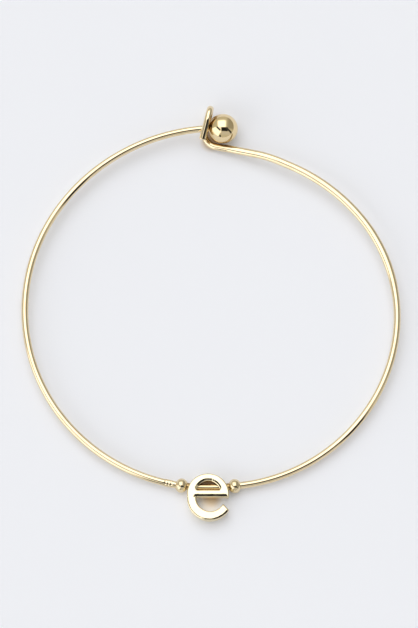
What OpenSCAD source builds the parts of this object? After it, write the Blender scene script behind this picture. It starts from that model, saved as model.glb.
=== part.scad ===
// Charm bangle: a round wire bent to a ring, closed by a hook over a ball, with a letter charm between two beads.
// It lies on its side. +Z is up, -Y is the charm's side, and the origin is under the middle of the whole piece.

/* [Wire] */
// Thickness of the wire
wire_d = 1.15; // [1:0.05:1.2]

/* [Clasp] */
// Diameter of the ball on the wire's left end
ball_d = 5.1; // [4.8:0.1:5.4]
// How far the wire reaches into the ball
ball_grip = 1.75; // [1.2:0.05:2]
// How far the hook's bend reaches out past the ball's middle
hook_out = 3.4; // [3.3:0.1:3.9]
// How far the hook's tip comes back inside the ball's middle
hook_in = 2.25; // [2:0.05:2.8]
// Height from the hook's low strand to the top of its high strand, axis to axis
hook_rise = 3.7; // [3.6:0.05:3.8]
// How far the high strand comes down again to its tip
hook_dip = 1.15; // [0.9:0.05:1.2]
// How far the low strand runs under the ball's middle
hook_drop = 1.9; // [1.8:0.05:1.95]

/* [Charm] */
// Height of the letter
letter_h = 8.3; // [8.2:0.1:8.6]
// Thickness of the letter
letter_t = 2.4; // [2.2:0.05:2.5]
// Width of the stroke at the letter's top
stroke_top = 1.3; // [1.2:0.05:1.35]
// Width of the stroke at the letter's foot
stroke_foot = 1.6; // [1.4:0.05:1.7]
// Width of the letter's crossbar
crossbar_w = 1.24; // [1.1:0.02:1.3]
// Hole for the wire through the letter
charm_bore_d = 1.45; // [1.4:0.05:1.45]

/* [Beads] */
// Diameter of the two stopper beads
bead_d = 2.5; // [2.4:0.05:2.6]
// From the middle of the charm to the middle of each bead, along the wire
bead_out = 4.72; // [4.72:0.02:5.4]

/* [Hidden] */

// Space between a piece and the wire that it is pressed on
press_gap = 0.04;
// Bends and rods run this far into each other
lap = 0.05;
// Every other length of wire is this much thicker, so that two of them share no surface
hair = 0.01;
// Facets round a wire, a ball and a hole
round_fn = 48;
// Facets round a full turn of a bend
bend_fn = 240;

// The bends of each half of the ring, from the charm up to the clasp
RADIUS = 0;
SWEEP = 1;
LEFT_BENDS = [
  // radius, sweep
  [32.2, 120],
  [34.4, 61.23],
];
RIGHT_BENDS = [
  // radius, sweep
  [42, 10],
  [31.3, 70],
  [28.8, 50],
  [33, 26],
];

// Where the charm's hole stands, and how far the wire sags to its near side there
charm_at = [-0.45, -31.8];
sag = 0.09;
axis_z = bead_d / 2;

// Where a run of bends ends: x, y and heading, from a start at the origin that heads along +X
function bends_end(bends, i = 0, at = [0, 0], heading = 0) =
  i == len(bends)
    ? [at.x, at.y, heading]
    : bends_end(
        bends,
        i + 1,
        at + bends[i][RADIUS] * [
          sin(heading + bends[i][SWEEP]) - sin(heading),
          cos(heading) - cos(heading + bends[i][SWEEP])
        ],
        heading + bends[i][SWEEP]
      );

// The ring leans up from the beads to the larger ball, so that both touch the ground
left_end = bends_end(LEFT_BENDS);
right_end = bends_end(RIGHT_BENDS);
ring_tilt = asin((ball_d - bead_d) / 2 / left_end.y);

// A point and a direction of the ring's flat plan, in space; side is -1 for the left half and 1 for the right
function on_ring(x, y, side) = [
  charm_at.x + side * x,
  charm_at.y - sag + y * cos(ring_tilt),
  axis_z + y * sin(ring_tilt)
];
function ring_heading(angle, side) = [
  side * cos(angle),
  sin(angle) * cos(ring_tilt),
  sin(angle) * sin(ring_tilt)
];

ball_at = on_ring(left_end.x, left_end.y, -1);
right_at = on_ring(right_end.x, right_end.y, 1);

// Corners of the wire from the ring's right end to the hook's tip, each with the radius of its bend
lead = 4.3;
dip_r = 20;
level_r = 9;
turn_r = 2.6;
hook_r = 1.43;
brow_r = 3;
hook_top = hook_rise - hook_drop;
low_out = ball_at + [-2.45, hook_out, -hook_drop];
HOOK_CORNERS = [
  // place, bend radius
  [right_at, 0],
  [right_at + lead * ring_heading(right_end.z, 1), dip_r],
  [ball_at + [0.85, -3.4, -1.3], level_r],
  [ball_at + [-3.9, -2.4, -hook_drop], turn_r],
  [low_out, hook_r],
  [low_out + [0.25, 0, hook_rise], hook_r],
  [ball_at + [-2.72, 1.25, hook_top], brow_r],
  [ball_at + [-3.66, -hook_in, hook_top - hook_dip], 0],
];

function unit(v) = v / norm(v);
// Angle that the wire turns through at a corner, and the length of each leg that its bend takes up
function corner_turn(c, i) = 180 - acos(unit(c[i - 1][0] - c[i][0]) * unit(c[i + 1][0] - c[i][0]));
function corner_take(c, i) = (i == 0 || i == len(c) - 1) ? 0 : c[i][1] * tan(corner_turn(c, i) / 2);

// A bend that starts at the origin, heads along +X and turns towards +Y
module bend(radius, sweep, d) {
  over = lap / radius * 180 / PI;
  translate([0, radius, 0])
    rotate([0, 0, -90 - over])
      rotate_extrude(angle = sweep + 2 * over, $fn = bend_fn)
        translate([radius, 0])
          circle(d = d, $fn = round_fn);
}

// A run of bends, each starting where the last one ends, plain and a hair thicker by turns
module bend_run(bends, thicker, i = 0) {
  if (i < len(bends)) {
    row = bends[i];
    bend(row[RADIUS], row[SWEEP], wire_d + (thicker ? hair : 0));
    translate([row[RADIUS] * sin(row[SWEEP]), row[RADIUS] * (1 - cos(row[SWEEP])), 0])
      rotate([0, 0, row[SWEEP]])
        bend_run(bends, !thicker, i + 1);
  }
}

// A straight piece of wire between two points
module rod(a, b, d) {
  run = b - a;
  translate(a)
    rotate([0, acos(run.z / norm(run)), atan2(run.y, run.x)])
      translate([0, 0, -lap])
        cylinder(d = d, h = norm(run) + 2 * lap, $fn = round_fn);
}

// The bend at one corner of a route, set between its two legs
module corner_bend(c, i) {
  back = unit(c[i - 1][0] - c[i][0]);
  on = unit(c[i + 1][0] - c[i][0]);
  start = c[i][0] + corner_take(c, i) * back;
  normal = unit(cross(on, back));
  side = cross(normal, -back);
  multmatrix([
    [-back.x, side.x, normal.x, start.x],
    [-back.y, side.y, normal.y, start.y],
    [-back.z, side.z, normal.z, start.z],
    [0, 0, 0, 1]
  ])
    rotate([side * on < 0 ? 180 : 0, 0, 0])
      bend(c[i][1], corner_turn(c, i), wire_d + hair);
}

// The straight leg from one corner's bend to the next one's
module leg(c, i) {
  on = unit(c[i + 1][0] - c[i][0]);
  rod(c[i][0] + corner_take(c, i) * on, c[i + 1][0] - corner_take(c, i + 1) * on, wire_d);
}

// Puts its children at the charm, in the ring's own leaning plane
module in_ring_plane(side) {
  translate([charm_at.x, charm_at.y - sag, axis_z])
    mirror([side < 0 ? 1 : 0, 0, 0])
      rotate([ring_tilt, 0, 0])
        children();
}

// The left half stops short of the ball's middle, and its lap is the end of the wire
module left_half() {
  last = len(LEFT_BENDS) - 1;
  short = (ball_d / 2 - ball_grip) / LEFT_BENDS[last][RADIUS] * 180 / PI;
  in_ring_plane(-1)
    bend_run([
      for (i = [0 : last])
        [LEFT_BENDS[i][RADIUS], LEFT_BENDS[i][SWEEP] - (i == last ? short : 0)]
    ], true);
}

module right_half() {
  in_ring_plane(1)
    bend_run(RIGHT_BENDS, false);
}

module hook() {
  for (i = [1 : len(HOOK_CORNERS) - 2])
    corner_bend(HOOK_CORNERS, i);
  for (i = [0 : len(HOOK_CORNERS) - 2])
    leg(HOOK_CORNERS, i);
}

// The whole wire, one solid from the end in the ball to the hook's tip
module bangle_wire() {
  color("#d9c79b") union() {
    left_half();
    right_half();
    hook();
  }
}

// The ball, drilled from its left side for the end of the wire
module end_ball() {
  drill_d = wire_d + hair + 2 * press_gap;
  color("#d2bf8c")
    translate(ball_at)
      rotate([0, 0, atan2(sin(left_end.z), -cos(left_end.z))])
        difference() {
          sphere(d = ball_d, $fn = round_fn);
          translate([-ball_d / 2 - 1, 0, 0])
            rotate([0, 90, 0])
              cylinder(d = drill_d, h = ball_grip + 2 * lap + press_gap + 1, $fn = round_fn);
        }
}

// Outer and inner rounds of the letter, measured from the hole for the wire
letter_top = 2.17;
letter_foot = letter_top - letter_h;
bowl_r = 3.65;
bowl_at = [-0.04, letter_top - bowl_r];
counter_r = 2.06;
counter_at = [0, letter_top - stroke_top - counter_r];
bar_top = -0.76;
bar_foot = bar_top - crossbar_w;
// The foot's round carries on from the bowl's at the crossbar's lower edge
function half_chord(r, up) = sqrt(r * r - up * up);
foot_r = 3.92;
foot_y = letter_foot + foot_r;
foot_at = [
  bowl_at.x - half_chord(bowl_r, bar_foot - bowl_at.y) + half_chord(foot_r, bar_foot - foot_y),
  foot_y
];
opening_r = 2.45;
opening_at = [0.37, letter_foot + stroke_foot + opening_r];
// The cut end of the foot's stroke: a point of its line, and the way that line runs
tail_at = [2.75, -3.4];
tail_angle = -48;

module above(y) {
  translate([-10, y]) square([20, 20]);
}
module below(y) {
  translate([-10, y - 20]) square([20, 20]);
}
module disc(at, r) {
  translate(at) circle(r = r, $fn = 2 * round_fn);
}

// The letter's face: an upper bowl closed by the crossbar, and an open foot with a tail
module letter_face() {
  difference() {
    union() {
      intersection() {
        disc(bowl_at, bowl_r);
        above(bar_foot);
      }
      intersection() {
        disc(foot_at, foot_r);
        below(bar_foot);
      }
    }
    intersection() {
      disc(counter_at, counter_r);
      above(bar_top);
    }
    intersection() {
      disc(opening_at, opening_r);
      below(bar_foot);
    }
    intersection() {
      below(bar_foot);
      translate(tail_at)
        rotate([0, 0, tail_angle])
          translate([-10, 0])
            square([20, 20]);
    }
  }
}

// The letter charm, flat on its back, drilled from side to side for the wire
module initial_charm() {
  color("#e6d8ac")
    translate([charm_at.x, charm_at.y, 0])
      difference() {
        linear_extrude(height = letter_t)
          letter_face();
        translate([-10, 0, axis_z])
          rotate([0, 90, 0])
            cylinder(d = charm_bore_d, h = 20, $fn = round_fn);
      }
}

// A drilled bead on the wire; first is the radius of the bend that it sits on
module bead(side, first) {
  angle = bead_out / first * 180 / PI;
  color("#cdb98a")
    in_ring_plane(side)
      translate([first * sin(angle), first * (1 - cos(angle)), 0])
        rotate([0, 90, angle])
          difference() {
            sphere(d = bead_d, $fn = round_fn);
            cylinder(d = wire_d + hair + 2 * press_gap, h = bead_d + 1, center = true, $fn = round_fn);
          }
}

module bead_left() {
  bead(-1, LEFT_BENDS[0][RADIUS]);
}
module bead_right() {
  bead(1, RIGHT_BENDS[0][RADIUS]);
}

bangle_wire();
end_ball();
initial_charm();
bead_left();
bead_right();
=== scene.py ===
"""Charm bangle in pale gold: the finely made pieces, their finishes, and the studio that shows them.

Every length is in metres unless its name ends in _mm. +Z is up, and -Y is the charm's side.
"""

import logging
import math
from dataclasses import dataclass, field
from enum import Enum
from typing import Iterable, Sequence

import bmesh
import bpy
from mathutils import Matrix, Vector, noise
from mathutils.kdtree import KDTree


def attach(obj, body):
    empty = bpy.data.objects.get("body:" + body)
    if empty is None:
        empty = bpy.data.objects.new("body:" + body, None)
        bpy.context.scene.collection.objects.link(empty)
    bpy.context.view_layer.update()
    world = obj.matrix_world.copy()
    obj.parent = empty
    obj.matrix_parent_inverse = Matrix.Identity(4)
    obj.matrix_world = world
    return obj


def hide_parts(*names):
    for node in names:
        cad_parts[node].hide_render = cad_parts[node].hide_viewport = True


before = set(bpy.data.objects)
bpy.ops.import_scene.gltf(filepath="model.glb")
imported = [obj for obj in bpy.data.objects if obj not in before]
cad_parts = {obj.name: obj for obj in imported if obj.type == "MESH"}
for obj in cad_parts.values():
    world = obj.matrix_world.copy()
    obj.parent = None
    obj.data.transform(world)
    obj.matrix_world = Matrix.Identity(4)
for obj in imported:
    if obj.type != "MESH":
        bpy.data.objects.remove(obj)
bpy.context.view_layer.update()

LOG = logging.getLogger("charm_bangle")
MM = 0.001

# Nearer than this two points of the wire's route are one, and a profile's point lies on its axis
SAME_POINT = 1e-7
ON_AXIS = 1e-9
# Painted shade is full up to this gap, and comes in as a surface turns from looking away to looking at it
FULL_SHADE_GAP = 0.1 * MM
LOOKS_AWAY = -0.3
LOOKS_AT = 0.6

Colour = tuple[float, float, float, float]
Place = tuple[float, float, float]
Ring = list[Vector]
Skin = tuple[list[Vector], list[list[int]]]


class Slot(Enum):
    """The material slots of the record."""

    WIRE = "wire_gold"
    BALL = "ball_gold"
    CHARM = "charm_gold"
    BEAD = "bead_gold"


class Side(Enum):
    """The two halves of the ring, by the sign of X that they set out along."""

    LEFT = -1
    RIGHT = 1


# Small helpers for numbers and meshes


def smooth_step(low: float, high: float, x: float) -> float:
    """Ease from 0 at low to 1 at high.

    Args:
        low: Where the ramp starts.
        high: Where the ramp ends.
        x: The value to place on the ramp.

    Returns:
        A value from 0 to 1.
    """
    t = min(max((x - low) / (high - low), 0.0), 1.0)
    return t * t * (3.0 - 2.0 * t)


def neighbour_shade(gap: float, facing: float, reach: float) -> float:
    """Tell how much painted shade a neighbour puts on a point.

    Args:
        gap: The distance to the neighbour.
        facing: How far the point's normal looks at the neighbour, from -1 to 1.
        reach: The distance at which the painted shade ends.

    Returns:
        A value from 0 to 1.
    """
    near = 1.0 - smooth_step(FULL_SHADE_GAP, reach, gap)
    return near * smooth_step(LOOKS_AWAY, LOOKS_AT, facing)


def arc(middle: Vector, radius: float, start: float, stop: float, count: int) -> list[Vector]:
    """Give the points of an arc in a plane.

    Args:
        middle: The arc's middle.
        radius: Its radius.
        start: The angle it starts at, in radians.
        stop: The angle it ends at.
        count: The number of its chords.

    Returns:
        One point more than it has chords.
    """
    turns = [start + (stop - start) * k / count for k in range(count + 1)]
    return [middle + radius * Vector((math.cos(a), math.sin(a))) for a in turns]


def angle_at(height: float, middle: Vector, radius: float) -> float:
    """Give the angle at which the right side of a circle in a plane reaches a height.

    Args:
        height: The height, along the plane's Y.
        middle: The circle's middle.
        radius: Its radius.

    Returns:
        The angle in radians, up to a quarter turn each way.
    """
    return math.asin((height - middle.y) / radius)


def link_object(name: str, data: bpy.types.ID) -> bpy.types.Object:
    """Put a mesh, a curve or a camera into the scene.

    Args:
        name: The object's name.
        data: What the object holds.

    Returns:
        The new object.
    """
    made = bpy.data.objects.new(name, data)
    bpy.context.scene.collection.objects.link(made)
    return made


def new_object(name: str, verts: Sequence[Vector], faces: Sequence[Sequence[int]]) -> bpy.types.Object:
    """Make a smooth-shaded mesh object and link it to the scene.

    Args:
        name: The object's name.
        verts: Corner points in metres.
        faces: Corner numbers of each face.

    Returns:
        The new object.
    """
    mesh = bpy.data.meshes.new(name)
    mesh.from_pydata([tuple(v) for v in verts], [], [tuple(f) for f in faces])
    mesh.validate()
    mesh.shade_smooth()
    return link_object(name, mesh)


def evaluated_mesh(made: bpy.types.Object) -> bpy.types.Mesh:
    """Give the mesh that an object's modifiers or its curve make.

    Args:
        made: The object.

    Returns:
        A new mesh.
    """
    bpy.context.view_layer.update()
    return bpy.data.meshes.new_from_object(made.evaluated_get(bpy.context.evaluated_depsgraph_get()))


def face_outwards(piece: bpy.types.Object, weld: float = 0.0) -> None:
    """Turn every face of a closed mesh to look outwards.

    Args:
        piece: The object whose mesh is put right.
        weld: Points nearer to each other than this are joined first.
    """
    bm = bmesh.new()
    bm.from_mesh(piece.data)
    if weld > 0.0:
        bmesh.ops.remove_doubles(bm, verts=bm.verts, dist=weld)
    bmesh.ops.recalc_face_normals(bm, faces=bm.faces)
    bm.to_mesh(piece.data)
    bm.free()
    piece.data.shade_smooth()


def mark_painted_shade(piece: bpy.types.Object, amounts: Sequence[float]) -> None:
    """Write down on a mesh how much painted shade each of its points takes.

    Args:
        piece: The object whose mesh is marked.
        amounts: A value from 0 to 1 for each point.
    """
    layer = piece.data.attributes.new("shelter", "FLOAT", "POINT")
    layer.data.foreach_set("value", amounts)


def loft(rings: Sequence[Ring]) -> Skin:
    """Join rings of equal size into a skin, with a fan on each end.

    Args:
        rings: The rings in order, each with the same number of points.

    Returns:
        The corner points, with the middles of both ends last, and the faces.
    """
    sides = len(rings[0])
    verts = [p for ring in rings for p in ring]
    faces = []
    for r in range(len(rings) - 1):
        for i in range(sides):
            j = (i + 1) % sides
            faces.append([r * sides + i, r * sides + j, (r + 1) * sides + j, (r + 1) * sides + i])
    for r in (0, len(rings) - 1):
        verts.append(sum(rings[r], Vector()) / sides)
        hub = len(verts) - 1
        for i in range(sides):
            faces.append([hub, r * sides + i, r * sides + (i + 1) % sides])
    return verts, faces


def lathe(profile: Sequence[tuple[float, float]], sides: int) -> Skin:
    """Turn a profile round the X axis.

    Args:
        profile: Points (place along X, distance from X); the first and last may lie on X.
        sides: Facets round the axis.

    Returns:
        The corner points and the faces, closed where the profile meets the axis or itself.
    """
    verts: list[Vector] = []
    rows: list[list[int]] = []
    for x, r in profile:
        if r < ON_AXIS:
            verts.append(Vector((x, 0.0, 0.0)))
            rows.append([len(verts) - 1] * sides)
            continue
        row = []
        for i in range(sides):
            a = 2.0 * math.pi * i / sides
            verts.append(Vector((x, r * math.cos(a), r * math.sin(a))))
            row.append(len(verts) - 1)
        rows.append(row)
    faces = []
    for low, high in zip(rows, rows[1:]):
        for i in range(sides):
            j = (i + 1) % sides
            corners = [low[i], low[j], high[j], high[i]]
            face = [c for k, c in enumerate(corners) if c not in corners[:k]]
            if len(face) > 2:
                faces.append(face)
    return verts, faces


# The wire's route, worked out from the same sizes as the solids


@dataclass(frozen=True)
class Bend:
    """One bend of the ring, in its own flat plane."""

    radius_mm: float
    sweep_deg: float


@dataclass(frozen=True)
class Corner:
    """A corner of the wire's route and the radius that rounds it."""

    place: Vector
    radius: float


@dataclass
class Route:
    """The middle line of the wire, from its end in the ball, round the ring, to the hook's tip."""

    wire_d: float = 1.15 * MM
    ball_d: float = 5.1 * MM
    ball_grip: float = 1.75 * MM
    bead_d: float = 2.5 * MM
    # The middle of the charm's hole, and how far the wire sags to its near side there
    charm_x: float = -0.45 * MM
    charm_y: float = -31.8 * MM
    sag: float = 0.09 * MM
    left_bends: tuple[Bend, ...] = (Bend(32.2, 120.0), Bend(34.4, 61.23))
    right_bends: tuple[Bend, ...] = (
        Bend(42.0, 10.0),
        Bend(31.3, 70.0),
        Bend(28.8, 50.0),
        Bend(33.0, 26.0),
    )
    # The clasp's corners, from the middle of the ball: the dip under it and beneath the left wire,
    # the loop beyond, the brow over it, and the tip
    lead: float = 4.3 * MM
    under_ball_mm: Place = (0.85, -3.4, -1.3)
    under_wire_x: float = -3.9 * MM
    under_wire_y: float = -2.4 * MM
    hook_drop: float = 1.9 * MM
    loop_x: float = -2.45 * MM
    hook_out: float = 3.4 * MM
    loop_lean: float = 0.25 * MM
    hook_rise: float = 3.7 * MM
    brow_x: float = -2.72 * MM
    brow_y: float = 1.25 * MM
    tip_x: float = -3.66 * MM
    hook_in: float = 2.25 * MM
    hook_dip: float = 1.15 * MM
    dip_radius: float = 20.0 * MM
    level_radius: float = 9.0 * MM
    turn_radius: float = 2.6 * MM
    hook_radius: float = 1.43 * MM
    brow_radius: float = 3.0 * MM
    # The length between two points of the route, and the fewest points round a corner
    step: float = 0.3 * MM
    corner_parts: int = 6
    tilt: float = field(init=False)
    ball_at: Vector = field(init=False)

    def __post_init__(self) -> None:
        """Work out the lean of the ring and the middle of the ball."""
        end, _ = self.walk(self.left_bends)[-1]
        self.tilt = math.asin((self.ball_d - self.bead_d) / 2.0 / end.y)
        self.ball_at = self.lift(end, Side.LEFT)

    def bends(self, side: Side) -> tuple[Bend, ...]:
        """Give the bends of one half of the ring."""
        return self.left_bends if side is Side.LEFT else self.right_bends

    def walk(self, bends: Iterable[Bend]) -> list[tuple[Vector, float]]:
        """Follow a run of bends in the flat plan, from the charm.

        Args:
            bends: The bends in order.

        Returns:
            Points of the plan, each with the heading there in radians.
        """
        at = Vector((0.0, 0.0))
        heading = 0.0
        line = [(at.copy(), heading)]
        for bend in bends:
            radius = bend.radius_mm * MM
            sweep = math.radians(bend.sweep_deg)
            count = max(1, round(radius * sweep / self.step))
            for k in range(1, count + 1):
                on = heading + sweep * k / count
                turn = Vector((math.sin(on) - math.sin(heading), math.cos(heading) - math.cos(on)))
                line.append((at + radius * turn, on))
            at = line[-1][0].copy()
            heading += sweep
        return line

    def lift(self, plan: Vector, side: Side) -> Vector:
        """Place a point of the flat plan in space.

        Args:
            plan: The point, from the charm.
            side: Which half of the ring it is on.

        Returns:
            The point in the leaning plane of the ring.
        """
        return Vector(
            (
                self.charm_x + side.value * plan.x,
                self.charm_y - self.sag + plan.y * math.cos(self.tilt),
                self.bead_d / 2.0 + plan.y * math.sin(self.tilt),
            )
        )

    def beside_charm(self, side: Side, out: float) -> Matrix:
        """Work out where a bead sits on the first bend of a half.

        Args:
            side: Which half of the ring.
            out: The length from the charm along the wire.

        Returns:
            The bead's place, with its X axis along the wire.
        """
        radius = self.bends(side)[0].radius_mm * MM
        angle = out / radius
        plan = Vector((radius * math.sin(angle), radius * (1.0 - math.cos(angle))))
        return Matrix.Translation(self.lift(plan, side)) @ Matrix.Rotation(side.value * angle, 4, "Z")

    def half(self, side: Side) -> list[Vector]:
        """Give one half of the ring, from the charm up to the clasp.

        Args:
            side: Which half.

        Returns:
            Its points in space.
        """
        line = [self.lift(p, side) for p, _ in self.walk(self.bends(side))]
        if side is Side.LEFT:
            bare = self.ball_d / 2.0 - self.ball_grip
            line = [p for p in line if (p - self.ball_at).length > bare]
        return line

    def corners(self) -> list[Corner]:
        """Work out the corners of the clasp.

        Returns:
            The corners from the ring's right end to the hook's tip.
        """
        end, heading = self.walk(self.right_bends)[-1]
        start = self.lift(end, Side.RIGHT)
        on = math.sin(heading)
        ahead = Vector((math.cos(heading), on * math.cos(self.tilt), on * math.sin(self.tilt)))
        top = self.hook_rise - self.hook_drop
        loop = self.ball_at + Vector((self.loop_x, self.hook_out, -self.hook_drop))
        under_wire = Vector((self.under_wire_x, self.under_wire_y, -self.hook_drop))
        tip = Vector((self.tip_x, -self.hook_in, top - self.hook_dip))
        return [
            Corner(start, 0.0),
            Corner(start + self.lead * ahead, self.dip_radius),
            Corner(self.ball_at + Vector(self.under_ball_mm) * MM, self.level_radius),
            Corner(self.ball_at + under_wire, self.turn_radius),
            Corner(loop, self.hook_radius),
            Corner(loop + Vector((self.loop_lean, 0.0, self.hook_rise)), self.hook_radius),
            Corner(self.ball_at + Vector((self.brow_x, self.brow_y, top)), self.brow_radius),
            Corner(self.ball_at + tip, 0.0),
        ]

    def hook(self) -> list[Vector]:
        """Round every corner of the clasp.

        Returns:
            The wire's middle line from the ring's right end to the hook's tip.
        """
        corners = self.corners()
        line = [corners[0].place]
        for before, here, after in zip(corners, corners[1:], corners[2:]):
            back = (before.place - here.place).normalized()
            ahead = (after.place - here.place).normalized()
            turn = math.pi - back.angle(ahead)
            take = here.radius * math.tan(turn / 2.0)
            middle = here.place + (back + ahead).normalized() * here.radius / math.cos(turn / 2.0)
            out = (here.place + back * take - middle).normalized()
            count = max(self.corner_parts, round(here.radius * turn / self.step))
            for k in range(count + 1):
                a = turn * k / count
                line.append(middle + here.radius * (out * math.cos(a) - back * math.sin(a)))
        line.append(corners[-1].place)
        return line

    def whole(self) -> tuple[list[Vector], int]:
        """Give the whole route, evenly spaced on its straight stretches too.

        Returns:
            The points from the ball to the tip, and the number of the one at the charm.
        """
        left = self.half(Side.LEFT)[::-1]
        rest = self.half(Side.RIGHT)[1:] + self.hook()[1:]
        line = [left[0]]
        for p in left[1:] + rest:
            gap = (p - line[-1]).length
            if gap < SAME_POINT:
                continue
            for parts_left in range(max(1, round(gap / self.step)), 0, -1):
                line.append(line[-1].lerp(p, 1.0 / parts_left))
        charm = min(range(len(line)), key=lambda i: (line[i] - left[-1]).length)
        return line, charm


# Finishes


class Graph:
    """A short way to add and join shader nodes."""

    def __init__(self, tree: bpy.types.NodeTree) -> None:
        """Keep the tree that nodes go into."""
        self.tree = tree

    def give(self, node: bpy.types.Node, name: str | int, value: object) -> None:
        """Set one input of a node to a value, or join a socket to it.

        Args:
            node: The node.
            name: The input's name or number.
            value: The value or socket.
        """
        if isinstance(value, bpy.types.NodeSocket):
            self.tree.links.new(value, node.inputs[name])
        else:
            node.inputs[name].default_value = value

    def node(self, kind: str, *first: object, **named: object) -> bpy.types.Node:
        """Add a node with its settings and inputs.

        Args:
            kind: The node's type, without ShaderNode before it.
            *first: Values or sockets for the first inputs, in order.
            **named: Settings of the node, whose names start small, and values or sockets for its
                inputs, whose names start with a capital and have _ for a space.

        Returns:
            The node.
        """
        made = self.tree.nodes.new("ShaderNode" + kind)
        for name, value in named.items():
            if name[0].islower():
                setattr(made, name, value)
            else:
                self.give(made, name.replace("_", " "), value)
        for place, value in enumerate(first):
            self.give(made, place, value)
        return made

    def where(self) -> bpy.types.NodeSocket:
        """Give the object's own coordinates."""
        return self.node("TexCoord").outputs["Object"]

    def math(self, how: str, a: object, b: object = 0.0) -> bpy.types.NodeSocket:
        """Work out a number from one or two others, by the operation that is named."""
        return self.node("Math", a, b, operation=how).outputs[0]

    def ramp(
        self, value: object, low: float, high: float, to_low: float = 0.0, to_high: float = 1.0
    ) -> bpy.types.NodeSocket:
        """Map a value from one range to another, smoothly and held at the ends."""
        ends = (low, high, to_low, to_high)
        return self.node("MapRange", value, *ends, interpolation_type="SMOOTHSTEP").outputs[0]

    def mix(self, share: object, a: object, b: object) -> bpy.types.NodeSocket:
        """Mix two colours.

        Args:
            share: How much of the second one there is, from 0 to 1.
            a: The first colour.
            b: The second colour.

        Returns:
            The mixed colour.
        """
        made = self.node("Mix", share, data_type="RGBA")
        colour_inputs = [k for k, socket in enumerate(made.inputs) if socket.type == "RGBA"]
        self.give(made, colour_inputs[0], a)
        self.give(made, colour_inputs[1], b)
        return next(socket for socket in made.outputs if socket.type == "RGBA")

    def near(self, where: object, middle: Place, full: float, none: float) -> bpy.types.NodeSocket:
        """Add a round soft mask.

        Args:
            where: The coordinates.
            middle: The mask's middle.
            full: The radius within which it is 1.
            none: The radius past which it is 0.

        Returns:
            The mask.
        """
        away = self.node("VectorMath", where, middle, operation="DISTANCE").outputs["Value"]
        return self.ramp(away, full, none, 1.0, 0.0)

    def noise(self, where: object, scale: object, detail: float = 3.0) -> bpy.types.NodeSocket:
        """Add a noise texture and give its value."""
        return self.node("TexNoise", Vector=where, Scale=scale, Detail=detail).outputs[0]


class Group(Graph):
    """A shader node group in the making, with what it is given and where its results go."""

    def __init__(self, name: str, ins: dict[str, object], outs: dict[str, str]) -> None:
        """Start the group with its named sockets.

        Args:
            name: The group's name.
            ins: The first value of each input by name: a colour or a number.
            outs: The kind of each output by name.
        """
        super().__init__(bpy.data.node_groups.new(name, "ShaderNodeTree"))
        sockets = self.tree.interface
        for key, value in ins.items():
            kind = "NodeSocketColor" if isinstance(value, tuple) else "NodeSocketFloat"
            sockets.new_socket(key, in_out="INPUT", socket_type=kind).default_value = value
        for key, kind in outs.items():
            sockets.new_socket(key, in_out="OUTPUT", socket_type=kind)
        self.given = self.tree.nodes.new("NodeGroupInput").outputs
        self.out = self.tree.nodes.new("NodeGroupOutput")


# Where each mark of the plating starts to show on its noise, and where it is full
PATCHES_SHOW = (0.42, 0.68)
CLOUDS_SHOW = (0.35, 0.75)
HAIRS_SHOW = (0.66, 0.76)
LINES_SHOW = (0.5, 0.72)
# The two ways that the hair scratches run, and how far their noise is drawn out along them
HAIR_TURNS = ((0.4, 0.3, 0.68), (1.9, 0.3, 3.23))
HAIR_SCALE = (1.0, 0.06, 1.0)
# How much clouds and hairs dull the polish, and how high the clouds stand against the hairs' depth
CLOUDS_DULL = 0.6
HAIRS_DULL = 0.5
CLOUDS_HIGH = 0.5


def tone_and_painted_shade_group() -> bpy.types.NodeTree:
    """Build the group that lets a plated colour drift between its own tone and a warmer one.

    Places that the mesh's own map marks take a deep brown tone: painted shade in creases and between close
    parts.

    Returns:
        The group.
    """
    g = Group(
        "tone_and_painted_shade",
        {
            "Own": (0.8, 0.7, 0.5, 1.0),
            "Warm": (0.8, 0.6, 0.35, 1.0),
            "Scale": 400.0,
            "Amount": 0.4,
            "Deep": (0.34, 0.19, 0.04, 1.0),
            "Shelter": 0.8,
        },
        {"Color": "NodeSocketColor"},
    )
    patches = g.ramp(g.noise(g.where(), g.given["Scale"], 4.0), *PATCHES_SHOW)
    share = g.math("MULTIPLY", patches, g.given["Amount"])
    plated = g.mix(share, g.given["Own"], g.given["Warm"])
    # The mesh's mark of painted shade darkens the colour towards the painted shade's brown
    shade_mark = g.node("Attribute", attribute_name="shelter").outputs["Fac"]
    painted_shade_amount = g.math("MULTIPLY", shade_mark, g.given["Shelter"])
    g.give(g.out, "Color", g.mix(painted_shade_amount, plated, g.given["Deep"]))
    return g.tree


def rub_marks_group() -> bpy.types.NodeTree:
    """Build the group for fine rub marks: short hair scratches and slow clouds of duller polish.

    Returns:
        The group.
    """
    g = Group(
        "rub_marks",
        {"Bright": 0.06, "Dull": 0.2, "Clouds": 700.0, "Hairs": 2500.0},
        {"Roughness": "NodeSocketFloat", "Height": "NodeSocketFloat"},
    )
    where = g.where()
    clouds = g.noise(where, g.given["Clouds"], 2.0)
    heights = []
    for turn in HAIR_TURNS:
        drawn_out = g.node("Mapping", Vector=where, Rotation=turn, Scale=HAIR_SCALE).outputs[0]
        heights.append(g.ramp(g.noise(drawn_out, g.given["Hairs"], 1.0), *HAIRS_SHOW))
    marks = g.math("MAXIMUM", heights[0], heights[1])
    dull = g.ramp(clouds, *CLOUDS_SHOW, 0.0, CLOUDS_DULL)
    share = g.math("MINIMUM", g.math("ADD", dull, g.math("MULTIPLY", marks, HAIRS_DULL)), 1.0)
    span = g.math("SUBTRACT", g.given["Dull"], g.given["Bright"])
    g.give(g.out, "Roughness", g.math("ADD", g.given["Bright"], g.math("MULTIPLY", share, span)))
    g.give(g.out, "Height", g.math("SUBTRACT", g.math("MULTIPLY", clouds, CLOUDS_HIGH), marks))
    return g.tree


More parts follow.
